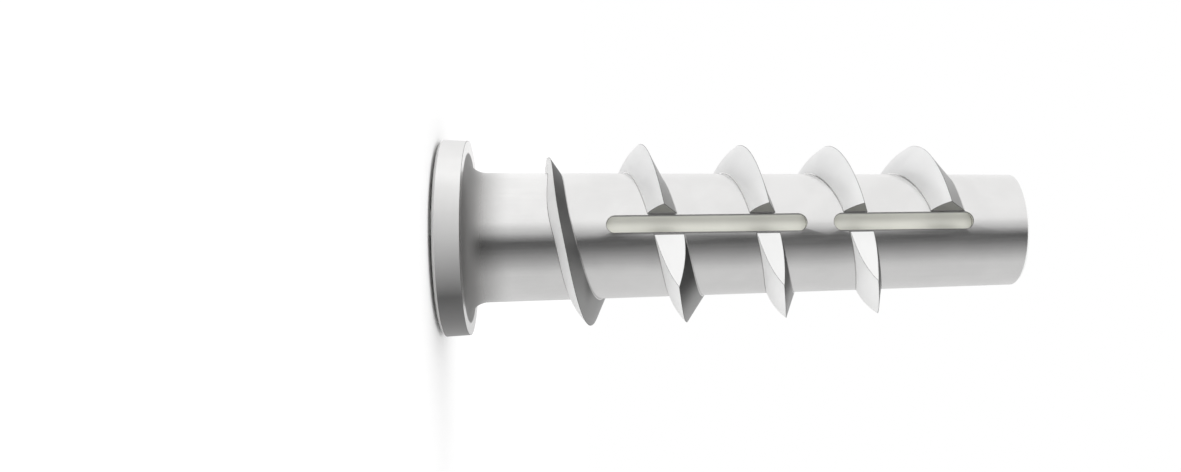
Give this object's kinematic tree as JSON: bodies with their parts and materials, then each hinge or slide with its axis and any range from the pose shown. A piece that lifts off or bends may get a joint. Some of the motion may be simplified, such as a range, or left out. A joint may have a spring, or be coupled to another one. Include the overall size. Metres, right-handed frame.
{
  "type": "aerated concrete anchor",
  "caption": "Die-cast screw-in anchor for aerated concrete: round flange, tapered barrel with a coarse broken thread, side grooves and a hexagon socket.",
  "frame": {"origin": "on the axis, at the top face of the raised boss on the head, which the anchor stands on", "axes": "+Z along the axis from the head to the tip; the side grooves and the boss's wings lie at -Y and +Y"},
  "size_m": [0.0222, 0.0222, 0.0644],
  "materials": {
    "zinc": "bright zinc die-casting, satin"
  },
  "bodies": {
    "root": {"anchor_body": "zinc"}
  },
  "joints": []
}
